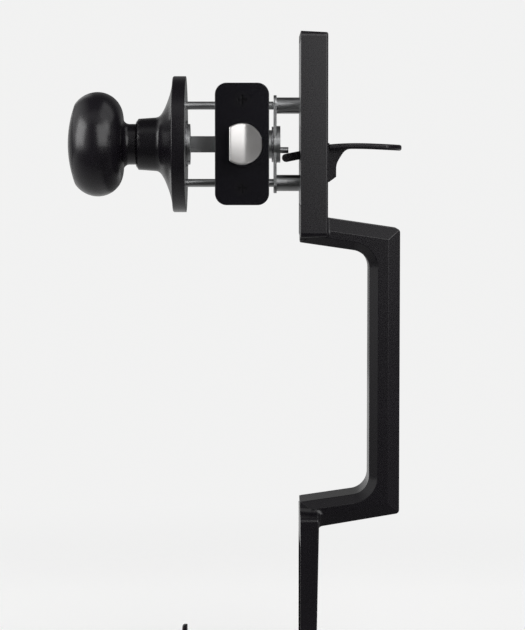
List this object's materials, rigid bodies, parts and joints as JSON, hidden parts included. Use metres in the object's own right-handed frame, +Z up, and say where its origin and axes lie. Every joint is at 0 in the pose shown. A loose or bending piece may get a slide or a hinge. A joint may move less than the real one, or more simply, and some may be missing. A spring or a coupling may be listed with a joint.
{
  "type": "entry door handleset",
  "caption": "Black entry door handleset: pull handle with a thumb press outside, round knob and rosette inside, and a spring latch with its faceplate between them.",
  "frame": {"origin": "where the spindle axis crosses the latch axis, in the middle of the door's thickness", "axes": "+X to the outside of the door along the spindle, -Y to the door's edge along the latch, +Z up along the pull handle"},
  "size_m": [0.1643, 0.1061, 0.3161],
  "materials": {
    "black_coat": "satin",
    "black_screw": "satin",
    "bolt_metal": "satin",
    "plated_steel": "satin",
    "spring_steel": "polished"
  },
  "bodies": {
    "fixed_trim": {"handle_casting": "black_coat", "thumb_pin": "plated_steel", "exterior_back_plate": "plated_steel", "back_plate_screws": "plated_steel", "mounting_posts": "plated_steel", "cam_bracket": "plated_steel", "interior_mounting_plate": "plated_steel", "mounting_screws": "plated_steel", "interior_rosette": "black_coat", "latch_faceplate": "black_coat", "latch_backing_plate": "plated_steel", "faceplate_screws": "black_screw", "latch_case": "plated_steel", "latch_spring": "spring_steel", "lower_washer": "black_coat", "lower_bolt": "black_screw"},
    "knob": {"interior_knob": "black_coat", "knob_shank": "plated_steel", "knob_set_screw": "black_screw", "shank_ring": "spring_steel", "spindle": "plated_steel", "latch_hub": "plated_steel", "exterior_cam": "plated_steel", "cam_ring": "spring_steel"},
    "thumb": {"thumbpiece": "black_coat"},
    "retractor": {"retractor": "plated_steel", "retractor_pins": "plated_steel"},
    "bolt": {"latch_bolt": "bolt_metal"}
  },
  "joints": [
    {"name": "knob_turn", "type": "hinge", "parent": "fixed_trim", "child": "knob", "pos_m": [0, 0, 0], "axis": [-1, 0, 0], "range_deg": [0, 70]},
    {"name": "retractor_slide", "type": "slide", "parent": "fixed_trim", "child": "retractor", "axis": [0, 1, 0], "range_m": [0, 0.0127], "stiffness_N_per_m": 350, "springref_m": -0.008, "deforming": ["latch_spring"]},
    {"name": "thumb_press", "type": "hinge", "parent": "fixed_trim", "child": "thumb", "pos_m": [0.0356, 0, -0.0038], "axis": [0, 1, 0], "range_deg": [0, 22.51]},
    {"name": "bolt_push", "type": "slide", "parent": "retractor", "child": "bolt", "axis": [0, 1, 0], "range_m": [0, 0.0127], "stiffness_N_per_m": 350, "springref_m": -0.008, "deforming": ["latch_spring"]}
  ],
  "couplings": [
    {"joint": "retractor_slide", "follows": "knob_turn", "m_per_rad": 0.010395},
    {"joint": "thumb_press", "follows": "knob_turn", "ratio": 0.32144}
  ]
}
